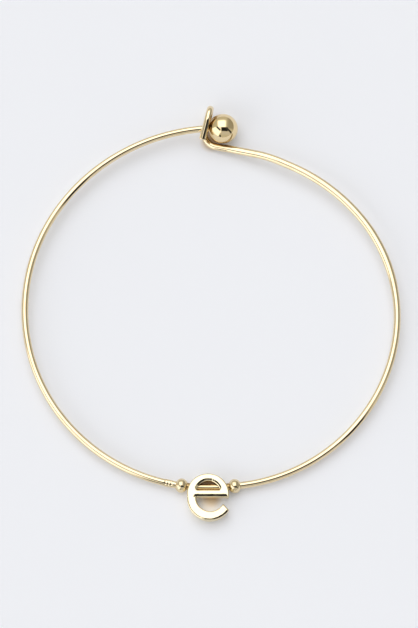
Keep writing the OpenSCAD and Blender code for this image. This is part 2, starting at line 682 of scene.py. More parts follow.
def drawn_lines_group() -> bpy.types.NodeTree:
    """Build the group for the long lines that a drawing die leaves on wire.

    They follow the mesh's own map of the places along and round the wire.

    Returns:
        The group.
    """
    g = Group(
        "drawn_lines",
        {"Lines": 9.0, "Length": 0.6},
        {"Height": "NodeSocketFloat", "Mask": "NodeSocketFloat"},
    )
    along = g.node("Attribute", attribute_name="along_wire").outputs["Vector"]
    scales = (g.given["Length"], g.given["Lines"], g.given["Lines"])
    parts = g.node("SeparateXYZ", along).outputs
    scaled = [g.math("MULTIPLY", part, scale) for part, scale in zip(parts, scales)]
    lines = g.noise(g.node("CombineXYZ", *scaled).outputs[0], 1.0, 2.0)
    g.give(g.out, "Height", lines)
    g.give(g.out, "Mask", g.ramp(lines, *LINES_SHOW))
    return g.tree


@dataclass(frozen=True)
class GoldFinish:
    """One plated surface: its tones, its painted shade, its polish and how uneven it is."""

    slot: Slot
    own: Colour
    warm: Colour
    # The painted shade's brown, and how fully it shows where the mesh marks it
    deep: Colour = (0.34, 0.19, 0.04, 1.0)
    shelter: float = 0.8
    tone_scale: float = 450.0
    tone_amount: float = 0.35
    bright: float = 0.06
    dull: float = 0.18
    clouds: float = 700.0
    hairs: float = 2600.0
    bump_depth: float = 0.002 * MM
    bump_strength: float = 0.5
    # Whether it has the lines of a drawing die, and how much duller it is in them
    drawn: bool = False
    drawn_dull: float = 0.03

    def material(self, groups: dict[str, bpy.types.NodeTree]) -> bpy.types.Material:
        """Build the material.

        Args:
            groups: The shared node groups by name.

        Returns:
            The material.
        """
        made = bpy.data.materials.new(self.slot.value)
        made.use_nodes = True
        made.node_tree.nodes.clear()
        g = Graph(made.node_tree)
        tone = g.node(
            "Group",
            node_tree=groups["tone_and_painted_shade"],
            Own=self.own,
            Warm=self.warm,
            Scale=self.tone_scale,
            Amount=self.tone_amount,
            Deep=self.deep,
            Shelter=self.shelter,
        )
        rub = g.node(
            "Group",
            node_tree=groups["rub_marks"],
            Bright=self.bright,
            Dull=self.dull,
            Clouds=self.clouds,
            Hairs=self.hairs,
        )
        height = rub.outputs["Height"]
        rough = rub.outputs["Roughness"]
        if self.drawn:
            lines = g.node("Group", node_tree=groups["drawn_lines"])
            height = g.math("ADD", height, lines.outputs["Height"])
            rough = g.math("ADD", rough, g.math("MULTIPLY", lines.outputs["Mask"], self.drawn_dull))
        bump = g.node("Bump", Height=height, Strength=self.bump_strength, Distance=self.bump_depth)
        shader = g.node(
            "BsdfPrincipled",
            Base_Color=tone.outputs["Color"],
            Roughness=rough,
            Normal=bump.outputs["Normal"],
            Metallic=1.0,
        )
        g.node("OutputMaterial", Surface=shader.outputs[0])
        return made


FINISHES = (
    GoldFinish(
        Slot.WIRE, (0.86, 0.72, 0.48, 1.0), (0.80, 0.63, 0.37, 1.0), bright=0.03, dull=0.09, drawn=True
    ),
    GoldFinish(
        Slot.BALL, (0.87, 0.70, 0.42, 1.0), (0.83, 0.64, 0.34, 1.0), bright=0.02, dull=0.06, tone_amount=0.25
    ),
    GoldFinish(
        Slot.CHARM, (0.88, 0.77, 0.52, 1.0), (0.84, 0.69, 0.42, 1.0), bright=0.03, dull=0.09, tone_scale=700.0
    ),
    GoldFinish(
        Slot.BEAD, (0.82, 0.69, 0.45, 1.0), (0.76, 0.60, 0.35, 1.0), bright=0.1, dull=0.24, tone_scale=900.0
    ),
)


# The pieces


@dataclass
class Piece:
    """What every piece has: its name, its solid, its body, its finish, and the wire that it goes with."""

    name: str
    node: str
    body: str
    slot: Slot
    route: Route

    def dress(self, made: bpy.types.Object, materials: dict[Slot, bpy.types.Material]) -> None:
        """Give a built mesh its finish and tie it to the frame.

        Args:
            made: The built object.
            materials: The finished materials by slot.
        """
        made.data.materials.clear()
        made.data.materials.append(materials[self.slot])
        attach(made, self.body)
        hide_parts(self.node)
        LOG.info("%s: %d faces, rides on %s", made.name, len(made.data.polygons), self.body)


@dataclass(frozen=True)
class Press:
    """A stretch of the wire that is pressed a little flat, with its places measured from the charm."""

    start: float
    full: float
    ease: float
    end: float
    wider: float
    thinner: float

    def share(self, s: float) -> float:
        """Tell how fully the wire is pressed at a place, from 0 to 1."""
        return smooth_step(self.start, self.full, s) * (1.0 - smooth_step(self.ease, self.end, s))


@dataclass
class BentWire(Piece):
    """The whole wire: the ring, the dip under the ball, and the hook."""

    sides: int = 28
    # The plated wire is a little stouter than its core, and not quite even
    plated: float = 1.08
    uneven: float = 0.012
    uneven_length: float = 2.1 * MM
    uneven_row: tuple[float, float] = (0.3, 0.7)
    # On its way up to the clasp, and under the tool that left the nicks
    presses: tuple[Press, ...] = (
        Press(50.0 * MM, 62.0 * MM, 95.0 * MM, 101.0 * MM, 0.13, 0.08),
        Press(-7.9 * MM, -7.4 * MM, -6.5 * MM, -6.0 * MM, 0.08, 0.06),
    )
    # Three nicks of a tool beside the left bead, near the wire's top, with more points about them
    nick_at: tuple[float, ...] = (-6.45 * MM, -6.95 * MM, -7.45 * MM)
    nick_depth: float = 0.07 * MM
    nick_half: float = 0.13 * MM
    nick_turn_deg: float = 78.0
    nick_tight: int = 6
    nick_near: float = 1.0 * MM
    nick_parts: int = 5
    # The rounded tip, in steps: the share of its length, and how far the wire has drawn in
    tip_round: float = 0.16 * MM
    tip_steps: tuple[tuple[float, float], ...] = ((0.45, 0.03), (0.8, 0.16), (1.0, 0.42))
    # How far the ball's painted shade reaches on the wire, and between which lengths from the charm the
    # painted shade inside it ends
    ball_reach: float = 1.5 * MM
    inside_full: float = 3.7 * MM
    inside_end: float = 4.0 * MM
    # Within that, the gaps beside the beads take full painted shade from here on
    gap_from: float = 3.0 * MM
    gap_full: float = 3.2 * MM
    # Elsewhere it takes the more painted shade, the more its skin looks to the clasp
    inside_least: float = 0.3
    faces_clasp: tuple[float, float] = (0.1, 0.75)

    def section(self, s: float) -> tuple[float, float]:
        """Give the wire's half width and half height at a place.

        Args:
            s: The length from the charm, below zero on the left.

        Returns:
            Half width across the ring's plane, and half height out of it.
        """
        wave = noise.noise(Vector((s / self.uneven_length, *self.uneven_row)))
        r = self.route.wire_d / 2.0 * self.plated * (1.0 + self.uneven * wave)
        wide = 1.0 + sum(press.wider * press.share(s) for press in self.presses)
        high = 1.0 - sum(press.thinner * press.share(s) for press in self.presses)
        return r * wide, r * high

    def stations(self) -> tuple[list[Vector], list[float]]:
        """Walk the route, with shorter steps at the nicks.

        Returns:
            The points, and the length of each from the charm.
        """
        line, charm = self.route.whole()
        lengths = [0.0]
        for a, b in zip(line, line[1:]):
            lengths.append(lengths[-1] + (b - a).length)
        lengths = [x - lengths[charm] for x in lengths]
        points = [line[0]]
        places = [lengths[0]]
        for i in range(1, len(line)):
            near = any(abs(lengths[i] - place) < self.nick_near for place in self.nick_at)
            parts = self.nick_parts if near else 1
            for k in range(1, parts + 1):
                points.append(line[i - 1].lerp(line[i], k / parts))
                places.append(lengths[i - 1] + (lengths[i] - lengths[i - 1]) * k / parts)
        return points, places

    def nick(self, s: float, angle: float) -> float:
        """Give how deep the tool's nicks go at a place on the wire's skin.

        Args:
            s: The length from the charm.
            angle: The place round the wire, a quarter turn at its top.

        Returns:
            The depth in metres.
        """
        top = max(0.0, math.cos(angle - math.radians(self.nick_turn_deg))) ** self.nick_tight
        deep = max(math.exp(-(((s - place) / self.nick_half) ** 2)) for place in self.nick_at)
        return self.nick_depth * deep * top

    def painted_shade_share(self, place: Vector, normal: Vector, s: float) -> float:
        """Tell how much painted shade a point of the wire takes.

        Args:
            place: The point.
            normal: Its normal.
            s: The length from the charm.

        Returns:
            A value from 0 to 1.
        """
        way = self.route.ball_at - place
        gap = way.length - self.route.ball_d / 2.0
        by_ball = neighbour_shade(gap, normal.dot(way.normalized()), self.ball_reach)
        inside = 1.0 - smooth_step(self.inside_full, self.inside_end, abs(s))
        in_gap = smooth_step(self.gap_from, self.gap_full, abs(s))
        upper = smooth_step(*self.faces_clasp, normal.y)
        return max(by_ball, inside * max(in_gap, self.inside_least + (1.0 - self.inside_least) * upper))

    def build(self) -> bpy.types.Object:
        """Sweep the wire's section along its route.

        Returns:
            The wire's object, with the map that the drawn lines follow.
        """
        points, places = self.stations()
        up = Vector((0.0, 0.0, 1.0))
        rings: list[Ring] = []
        maps: list[Place] = []
        last = len(points) - 1
        for i, (at, s) in enumerate(zip(points, places)):
            ahead = (points[min(i + 1, last)] - points[max(i - 1, 0)]).normalized()
            up = (up - ahead * up.dot(ahead)).normalized()
            across = ahead.cross(up)
            wide, high = self.section(s)
            ring = []
            for k in range(self.sides):
                a = 2.0 * math.pi * k / self.sides
                deep = self.nick(s, a)
                ring.append(at + across * (wide - deep) * math.cos(a) + up * (high - deep) * math.sin(a))
                maps.append((s / MM, math.cos(a), math.sin(a)))
            rings.append(ring)
        tip = points[last]
        onward = (tip - points[last - 1]).normalized()
        for share, inset in self.tip_steps:
            middle = tip + onward * self.tip_round * share
            rings.append([middle + (p - tip) * (1.0 - inset) for p in rings[last]])
            maps.extend(maps[last * self.sides : (last + 1) * self.sides])
        verts, faces = loft(rings)
        maps.extend([maps[0], maps[-1]])
        made = new_object(self.name, verts, faces)
        along = made.data.attributes.new("along_wire", "FLOAT_VECTOR", "POINT")
        along.data.foreach_set("vector", [x for row in maps for x in row])
        face_outwards(made)
        # Painted shade where the ball stands close, and inside and beside the charm
        skin = zip(made.data.vertices, maps)
        mark_painted_shade(made, [self.painted_shade_share(v.co, v.normal, row[0] * MM) for v, row in skin])
        return made


@dataclass
class DrilledRound(Piece):
    """A polished round drilled for the wire, once through or blind."""

    diameter: float
    drill_d: float
    # How far the painted shade of a neighbour reaches
    reach: float
    drill_depth: float = 1.9 * MM
    through: bool = False
    sides: int = 96
    rows: int = 64
    weld: float = 1e-8
    # The rounded mouth of the hole: its width, and its points in shares of that, inwards and outwards
    mouth: float = 0.05 * MM
    mouth_turn: tuple[tuple[float, float], ...] = ((0.9, 0.0), (0.25, 0.3))
    # How far a blind hole's floor is rounded, as a share of its radius
    floor_round: float = 0.1
    # How uneven the round is, and in what waves
    uneven: float = 0.0
    wave: float = 0.7 * MM
    wave_start: Place = (1.9 * MM, 3.1, 1.7)
    # How much of its length along the wire is left
    squash: float = 1.0

    def place(self) -> Matrix:
        """Give the round's place, with its X axis along the wire."""
        raise NotImplementedError

    def neighbours(self) -> tuple[Sequence[Vector], float]:
        """Give the middles of what stands close beside the round, and their radius."""
        raise NotImplementedError

    def profile(self) -> list[tuple[float, float]]:
        """Work out the half section.

        Returns:
            Its points, from the hole's inside, over its mouth and round the outside.
        """
        r = self.diameter / 2.0
        hole = self.drill_d / 2.0
        lip = math.asin((hole + self.mouth) / r)
        end = math.pi - lip if self.through else math.pi
        outside = []
        for k in range(self.rows + 1):
            a = lip + (end - lip) * k / self.rows
            outside.append((-r * math.cos(a), r * math.sin(a)))
        edge = -r * math.cos(lip)
        turn = [(edge + self.mouth * deep, hole + self.mouth * out) for deep, out in self.mouth_turn]
        if self.through:
            back = [(-x, y) for x, y in reversed(turn)]
            return [*turn, *outside, *back, turn[0]]
        outside[-1] = (r, 0.0)
        deep = -r + self.drill_depth
        bevel = hole * self.floor_round
        return [(deep, 0.0), (deep, hole - bevel), (deep - bevel, hole), *turn, *outside]

    def painted_shade_share(self, place: Vector, normal: Vector) -> float:
        """Tell how much painted shade a point takes from what stands close beside it.

        Args:
            place: The point.
            normal: Its normal.

        Returns:
            A value from 0 to 1.
        """
        most = 0.0
        middles, radius = self.neighbours()
        for middle in middles:
            way = middle - place
            gap = way.length - radius
            if gap < self.reach:
                most = max(most, neighbour_shade(gap, normal.dot(way.normalized()), self.reach))
        return most

    def build(self) -> bpy.types.Object:
        """Turn the profile and set the piece in its place.

        Returns:
            The drilled round.
        """
        verts, faces = lathe(self.profile(), self.sides)
        if self.uneven > 0.0:
            for v in verts:
                height = noise.noise(v / self.wave + Vector(self.wave_start))
                v += v.normalized() * self.uneven * height
        for v in verts:
            v.x *= self.squash
        place = self.place()
        made = new_object(self.name, [place @ v for v in verts], faces)
        face_outwards(made, self.weld)
        # Painted shade where a neighbour stands close
        mark_painted_shade(made, [self.painted_shade_share(v.co, v.normal) for v in made.data.vertices])
        return made


@dataclass
class EndBall(DrilledRound):
    """The polished ball on the wire's left end, drilled blind, with painted shade where the hook stands
    close.
    """

    diameter: float = 5.3 * MM
    drill_d: float = 1.46 * MM
    reach: float = 1.9 * MM
    # How far the ball seen in the photo stands from its solid's middle
    moved_mm: Place = (-0.03, -0.12, 0.1)
    hook_middles: list[Vector] = field(init=False)

    def __post_init__(self) -> None:
        """Work out the hook's middle line once, at every other point."""
        self.hook_middles = self.route.hook()[::2]

    def place(self) -> Matrix:
        """Give the ball's place on the end of the wire.

        Returns:
            The place, with the X axis out of the wire's end.
        """
        heading = self.route.walk(self.route.left_bends)[-1][1]
        turn = Matrix.Rotation(math.pi - heading, 4, "Z")
        return Matrix.Translation(self.route.ball_at + Vector(self.moved_mm) * MM) @ turn

    def neighbours(self) -> tuple[Sequence[Vector], float]:
        """Give the hook's middle line and the wire's radius."""
        return self.hook_middles, self.route.wire_d / 2.0


@dataclass
class StopperBead(DrilledRound):
    """A small bead drilled through and a little flattened along the wire, beside the charm."""

    # The side of the charm that it is on, and the length along the wire from the charm to its middle
    side: Side = field(kw_only=True)
    out: float = field(kw_only=True)
    diameter: float = 2.5 * MM
    drill_d: float = 1.27 * MM
    through: bool = True
    mouth: float = 0.03 * MM
    sides: int = 64
    rows: int = 40
    uneven: float = 0.02 * MM
    squash: float = 0.89
    reach: float = 1.1 * MM
    # The charm's edge beside the bead, which puts painted shade on it, from the charm's middle, with its
    # height as a share of the bead's
    edge_x: float = 3.3 * MM
    edge_y: float = -0.6 * MM
    edge_high: float = 0.4

    def place(self) -> Matrix:
        """Give the bead's place on the wire."""
        return self.route.beside_charm(self.side, self.out)

    def neighbours(self) -> tuple[Sequence[Vector], float]:
        """Give the charm's edge beside the bead, as one point.

        Returns:
            The point, and no radius.
        """
        x = self.route.charm_x + self.side.value * self.edge_x
        return (Vector((x, self.route.charm_y + self.edge_y, self.diameter * self.edge_high)),), 0.0


@dataclass
class LetterCharm(Piece):
    """The letter charm: a cast letter with worn slopes beside its edges, drilled from side to side.

    Its places are in its own plane, from the middle of the hole for the wire, with +Y to the clasp.
    """

    height: float = 8.3 * MM
    thick: float = 2.4 * MM
    top: float = 2.17 * MM
    stroke_top: float = 1.3 * MM
    stroke_foot: float = 1.6 * MM
    crossbar: float = 1.24 * MM
    bar_top: float = -0.76 * MM
    # The rounds of the outline and of its open and closed insides
    bowl_r: float = 3.65 * MM
    bowl_x: float = -0.04 * MM
    foot_r: float = 3.92 * MM
    counter_r: float = 2.06 * MM
    counter_x: float = 0.0
    opening_r: float = 2.45 * MM
    opening_x: float = 0.37 * MM
    # The cut end of the foot's stroke
    tail_x: float = 2.75 * MM
    tail_y: float = -3.4 * MM
    tail_deg: float = -48.0
    bowl_parts: int = 90
    foot_parts: int = 72
    opening_parts: int = 60
    counter_parts: int = 48
    bore_d: float = 1.53 * MM
    drill_half: float = 6.0 * MM
    drill_sides: int = 48
    # The even fine mesh that the letter is worn in
    voxel: float = 0.055 * MM
    weld: float = 1e-6
    calm_factor: float = 0.5
    calm_rounds: int = 2
    mark_step: float = 0.015 * MM
    # The worn slopes: how steep, how wide in each place, and how uneven
    slope_deg: float = 19.5
    bar_slope: float = 0.46 * MM
    counter_slope: float = 0.36 * MM
    foot_slope: float = 0.27 * MM
    plain_slope: float = 0.1 * MM
    slope_uneven: float = 0.12
    slope_wave: float = 0.4 * MM
    # A slope runs out at this many times its width, softly over this share of it
    slope_over: float = 1.15
    slope_soft: float = 0.18
    # It takes along all that is this close under the face, and nothing deeper than this
    slope_high: float = 0.02 * MM
    slope_low: float = 0.5 * MM
    # Where the closed hole's slope widens, above the crossbar
    arch_from: float = 0.05 * MM
    arch_full: float = 0.3 * MM
    # Where the foot's slope widens, from left to right, and the least share of it
    foot_from: float = -0.6 * MM
    foot_full: float = 1.6 * MM
    foot_least: float = 0.4
    # The foot's outer edge is farther from its middle than this share of its radius
    outer_share: float = 0.96
    # How near to the crossbar's lower edge, and how far left of the opening, a point is still on it
    on_bar: float = 0.02 * MM
    past_bar: float = 0.05 * MM
    # The walls: a round lip, and a back that is tucked in below the belly
    lip: float = 0.16 * MM
    lip_fullness: float = 0.96
    belly: float = 1.2 * MM
    tuck: float = 0.36 * MM
    tuck_power: float = 1.25
    # How far in from the outline points still move with the wall
    reach: float = 0.55 * MM
    # This near to the outline a point moves against its own normal, unless that stands up this much
    wall_near: float = 0.03 * MM
    wall_level: float = 0.95
    # The soft waves of hand polish, slow and fine, the fine ones mostly on the walls
    wave: float = 0.013 * MM
    slow_wave: float = 1.3 * MM
    fine_wave: float = 0.42 * MM
    fine_start: Place = (4.0, 1.0, 2.0)
    fine_face: float = 0.15
    fine_wall: float = 0.45
    # The painted shade inside the closed hole: how far past its edges, and between which depths
    painted_shade_over: float = 0.2 * MM
    painted_shade_under: float = 0.1 * MM
    painted_shade_full: float = 0.9 * MM
    painted_shade_end: float = 0.25 * MM

    def bar_foot(self) -> float:
        """Give the lower edge of the crossbar."""
        return self.bar_top - self.crossbar

    def counter_middle(self) -> Vector:
        """Give the middle of the closed hole's round."""
        return Vector((self.counter_x, self.top - self.stroke_top - self.counter_r))

    def foot_middle(self) -> Vector:
        """Work out the foot's round, which carries on from the bowl's at the crossbar.

        Returns:
            Its middle.
        """
        bar = self.bar_foot()
        foot_y = self.top - self.height + self.foot_r
        bowl_half = math.sqrt(self.bowl_r**2 - (bar - (self.top - self.bowl_r)) ** 2)
        foot_half = math.sqrt(self.foot_r**2 - (bar - foot_y) ** 2)
        return Vector((self.bowl_x - bowl_half + foot_half, foot_y))

    def cut_angle(self, middle: Vector, radius: float) -> float:
        """Find where a circle meets the cut end of the foot's stroke.

        Args:
            middle: The circle's middle.
            radius: Its radius.

        Returns:
            The angle there in radians.
        """
        tail = math.radians(self.tail_deg)
        ray = Vector((math.cos(tail), math.sin(tail)))
        away = Vector((self.tail_x, self.tail_y)) - middle
        along = away.dot(ray)
        at = away + ray * (math.sqrt(along * along - away.length_squared + radius * radius) - along)
        return math.atan2(at.y, at.x)

    def outline(self) -> list[Vector]:
        """Draw the letter's outer outline.

        Returns:
            Its points, once round from the crossbar's right end over the top.
        """
        bar = self.bar_foot()
        full = 2.0 * math.pi
        bowl = Vector((self.bowl_x, self.top - self.bowl_r))
        right = angle_at(bar, bowl, self.bowl_r)
        foot = self.foot_middle()
        left = math.pi - angle_at(bar, foot, self.foot_r)
        foot_cut = full + self.cut_angle(foot, self.foot_r)
        opening = Vector((self.opening_x, self.top - self.height + self.stroke_foot + self.opening_r))
        opening_cut = full + self.cut_angle(opening, self.opening_r)
        under_bar = math.pi - angle_at(bar, opening, self.opening_r)
        return [
            *arc(bowl, self.bowl_r, right, math.pi - right, self.bowl_parts),
            *arc(foot, self.foot_r, left, foot_cut, self.foot_parts),
            *arc(opening, self.opening_r, opening_cut, under_bar, self.opening_parts),
        ]

    def counter(self) -> list[Vector]:
        """Draw the outline of the closed half-moon hole.

        Returns:
            Its points, from its right end over the top.
        """
        middle = self.counter_middle()
        right = angle_at(self.bar_top, middle, self.counter_r)
        return arc(middle, self.counter_r, right, math.pi - right, self.counter_parts)

    def slope_width(self, p: Vector, closed: bool) -> float:
        """Tell how wide the worn slope beside the letter's edge is.

        Args:
            p: A point of an outline.
            closed: Whether the outline is the closed hole's.

        Returns:
            The slope's width.
        """
        uneven = 1.0 + self.slope_uneven * noise.noise(Vector((p.x, p.y, 0.0)) / self.slope_wave)
        if closed:
            arch = smooth_step(self.bar_top + self.arch_from, self.bar_top + self.arch_full, p.y)
            return uneven * (self.plain_slope + (self.counter_slope - self.plain_slope) * arch)
        bar = self.bar_foot()
        if abs(p.y - bar) < self.on_bar and p.x > self.opening_x - self.opening_r - self.past_bar:
            return uneven * self.bar_slope
        away = p - self.foot_middle()
        low = away.length > self.foot_r * self.outer_share and p.y < bar
        right = max(self.foot_least, smooth_step(self.foot_from, self.foot_full, away.x)) if low else 0.0
        return uneven * (self.plain_slope + (self.foot_slope - self.plain_slope) * right)

    def slab(self) -> bpy.types.Object:
        """Build the letter as a plain slab, from its two outlines.

        Returns:
            The slab, with its back at the origin's height.
        """
        curve = bpy.data.curves.new(self.name + "_slab", "CURVE")
        curve.dimensions = "2D"
        curve.fill_mode = "BOTH"
        for line in (self.outline(), self.counter()):
            spline = curve.splines.new("POLY")
            spline.points.add(len(line) - 1)
            for point, p in zip(spline.points, line):
                point.co = (p.x, p.y, 0.0, 1.0)
            spline.use_cyclic_u = True
        curve.extrude = self.thick / 2.0
        shaped = link_object(curve.name, curve)
        mesh = evaluated_mesh(shaped)
        bpy.data.objects.remove(shaped)
        mesh.name = self.name
        mesh.transform(Matrix.Translation((0.0, 0.0, self.thick / 2.0)))
        made = link_object(self.name, mesh)
        face_outwards(made, self.weld)
        return made

    def keep(self, made: bpy.types.Object) -> None:
        """Replace an object's mesh by what its modifiers make of it.

        Args:
            made: The object.
        """
        ready = evaluated_mesh(made)
        made.modifiers.clear()
        made.data = ready
        made.data.name = self.name

    def drill(self, made: bpy.types.Object) -> None:
        """Cut the hole for the wire from side to side.

        Args:
            made: The slab that is drilled.
        """
        axis = Vector((0.0, 0.0, self.route.bead_d / 2.0))
        half, r = self.drill_half, self.bore_d / 2.0
        verts, faces = lathe([(-half, 0.0), (-half, r), (half, r), (half, 0.0)], self.drill_sides)
        cutter = new_object(self.name + "_drill", [v + axis for v in verts], faces)
        face_outwards(cutter)
        cut = made.modifiers.new("hole", "BOOLEAN")
        cut.object = cutter
        cut.operation = "DIFFERENCE"
        cut.solver = "EXACT"
        self.keep(made)
        bpy.data.objects.remove(cutter)

    def calm(self, made: bpy.types.Object) -> None:
        """Smooth an object's mesh a little, after whatever modifiers it has.

        Args:
            made: The object.
        """
        smooth = made.modifiers.new("calm", "SMOOTH")
        smooth.factor = self.calm_factor
        smooth.iterations = self.calm_rounds
        self.keep(made)

    def tuck_in(self, z: float) -> float:
        """Tell how far the wall stands back from the outline at a height.

        Args:
            z: The height above the letter's back.

        Returns:
            The distance: the lip's round near the face, the tuck near the back, and none between.
        """
        if z < self.belly:
            return self.tuck * (1.0 - max(z, 0.0) / self.belly) ** self.tuck_power
        if z > self.thick - self.lip:
            up = min(1.0, (z - self.thick + self.lip) / self.lip)
            return self.lip * (1.0 - math.sqrt(1.0 - self.lip_fullness * up * up))
        return 0.0

    def edge_marks(self) -> list[tuple[Vector, float]]:
        """Set close marks along both outlines.

        Returns:
            Each mark's place, with the width of the slope there.
        """
        marks = []
        for line, closed in ((self.outline(), False), (self.counter(), True)):
            for a, b in zip(line, line[1:] + line[:1]):
                steps = max(1, math.ceil((b - a).length / self.mark_step))
                for k in range(steps):
                    p = a + (b - a) * k / steps
                    marks.append((p, self.slope_width(p, closed)))
        return marks

    def wear(self, mesh: bpy.types.Mesh) -> None:
        """Shape the walls and the slopes beside the edges.

        Args:
            mesh: The charm's even mesh, where each point moves by its distance from the nearest outline.
        """
        marks = self.edge_marks()
        tree = KDTree(len(marks))
        for k, (p, _) in enumerate(marks):
            tree.insert((p.x, p.y, 0.0), k)
        tree.balance()
        steep = math.tan(math.radians(self.slope_deg))
        places = [v.co.copy() for v in mesh.vertices]
        normals = [v.normal.copy() for v in mesh.vertices]
        for place, normal in zip(places, normals):
            z = place.z
            near, k, away = tree.find((place.x, place.y, 0.0))
            if away < self.reach:
                inward = Vector((place.x, place.y, 0.0)) - near
                if away < self.wall_near and abs(normal.z) < self.wall_level:
                    inward = Vector((-normal.x, -normal.y, 0.0))
                if inward.length > 0.0:
                    place += inward.normalized() * self.tuck_in(z) * (1.0 - away / self.reach)
            width = marks[k][1]
            if away < width * self.slope_over:
                high = smooth_step(self.thick - self.slope_low, self.thick - self.slope_high, z)
                soft = smooth_step(0.0, self.slope_soft, self.slope_over - away / width)
                place.z -= high * soft * steep * (width * self.slope_over - away)
        mesh.vertices.foreach_set("co", [c for place in places for c in place])
        mesh.update()

    def polish(self, mesh: bpy.types.Mesh) -> None:
        """Leave the soft waves of hand polishing.

        Args:
            mesh: The worn mesh.
        """
        start = Vector(self.fine_start)
        places = []
        for v in mesh.vertices:
            fine = self.fine_face + self.fine_wall * (1.0 - abs(v.normal.z))
            amount = noise.noise(v.co / self.slow_wave) + fine * noise.noise(v.co / self.fine_wave + start)
            places.append(v.co + v.normal * self.wave * amount)
        for v, place in zip(mesh.vertices, places):
            v.co = place
        mesh.shade_smooth()

    def painted_shade_share(self, place: Vector) -> float:
        """Tell how much painted shade a point takes inside the half-moon hole.

        Args:
            place: The point, from the letter's middle.

        Returns:
            A value from 0 to 1.
        """
        away = (Vector((place.x, place.y)) - self.counter_middle()).length
        if away > self.counter_r + self.painted_shade_over or place.y < self.bar_top - self.painted_shade_under:
            return 0.0
        return 1.0 - smooth_step(self.thick - self.painted_shade_full, self.thick - self.painted_shade_end, place.z)

    def build(self) -> bpy.types.Object:
        """Build the charm and lay it on its back at its place on the wire.

        Returns:
            The charm.
        """
        made = self.slab()
        self.drill(made)
        even = made.modifiers.new("even", "REMESH")
        even.mode = "VOXEL"
        even.voxel_size = self.voxel
        self.calm(made)
        self.wear(made.data)
        self.calm(made)
        self.polish(made.data)
        # Painted shade deep inside the half-moon hole
        mark_painted_shade(made, [self.painted_shade_share(v.co) for v in made.data.vertices])
        made.data.transform(Matrix.Translation((self.route.charm_x, self.route.charm_y, 0.0)))
        return made


# The studio


@dataclass(frozen=True)
class Edge:
    """One straight soft edge of a card: which way it faces on the room's chart, where it is, how soft."""

    facing_deg: float
    at_deg: float
    soft_deg: float


@dataclass(frozen=True)
class Card:
    """A light or dark card in the room, as the bangle sees it.

    It is drawn on a chart of the room in degrees from straight overhead, with +X to the right and +Y up.
    """

    name: str
    level: float
    edges: tuple[Edge, ...]
    tint: tuple[float, float, float] = (1.0, 1.0, 1.0)

    def colour(self) -> Colour:
        """Give the card's brightness and tint as one colour."""
        return tuple(self.level * c for c in self.tint) + (1.0,)

    def draw(self, g: Graph, x: bpy.types.NodeSocket, y: bpy.types.NodeSocket) -> bpy.types.NodeSocket:
        """Draw the card's mask.

        Args:
            g: The world's graph.
            x: The chart's degrees towards +X.
            y: The chart's degrees towards +Y.

        Returns:
            The mask, 1 inside the card.
        """
        mask = None
        for edge in self.edges:
            turn = math.radians(edge.facing_deg)
            out = g.math("ADD", g.math("MULTIPLY", x, math.cos(turn)), g.math("MULTIPLY", y, math.sin(turn)))
            half = edge.soft_deg / 2.0
            inside = g.ramp(out, edge.at_deg - half, edge.at_deg + half, 1.0, 0.0)
            mask = inside if mask is None else g.math("MULTIPLY", mask, inside)
        return mask


def box_card(name: str, level: float, x: tuple[float, float], y: tuple[float, float], soft: float) -> Card:
    """Make an upright rectangular card.

    Args:
        name: The card's name.
        level: Its brightness.
        x: Its lowest and highest degrees towards +X.
        y: Its lowest and highest degrees towards +Y.
        soft: The width of its soft edges in degrees.

    Returns:
        The card.
    """
    edges = (Edge(0, x[1], soft), Edge(180, -x[0], soft), Edge(90, y[1], soft), Edge(270, -y[0], soft))
    return Card(name, level, edges)


GREY_WALL = (1.0, 0.985, 0.88)
# A later card hides the ones before it
CARDS = (
    Card("right_wall", 0.36, (Edge(180, -34, 26), Edge(270, 12, 20)), GREY_WALL),
    box_card("front_right_board", 0.62, (-12, 62), (-66, -34), 12),
    Card("overhead_softbox", 1.9, (Edge(0, 20, 22), Edge(180, 39, 16), Edge(90, 50, 22), Edge(270, 7, 9))),
    Card("rim_of_softbox", 1.2, (Edge(180, 32, 8), Edge(0, -15, 6), Edge(90, -6, 8), Edge(270, 48, 10))),
    Card("gap_by_softbox", 0.04, (Edge(40, -31, 7), Edge(220, 46, 7), Edge(130, 32, 8), Edge(310, 9, 10))),
    box_card("camera", 0.02, (-13, 39), (-38, -7), 7),
    Card("boom", 0.05, (Edge(60, 9, 7), Edge(240, 7, 7), Edge(330, 91, 10), Edge(150, -26, 8))),
    Card("left_reflector", 1.7, (Edge(40, -44, 8), Edge(323, 10, 12), Edge(90, 2, 8))),
    box_card("stand", 0.04, (-35, -20), (-90, -67), 6),
)


@dataclass(frozen=True)
class Patch:
    """A round soft patch of light or shade on the table."""

    x_mm: float
    y_mm: float
    full_mm: float
    none_mm: float

    def draw(self, g: Graph, where: bpy.types.NodeSocket) -> bpy.types.NodeSocket:
        """Draw the patch's mask.

        Args:
            g: The paint's graph.
            where: The table's coordinates.

        Returns:
            The mask, 1 at the patch's middle.
        """
        return g.near(where, (self.x_mm * MM, self.y_mm * MM, 0.0), self.full_mm * MM, self.none_mm * MM)


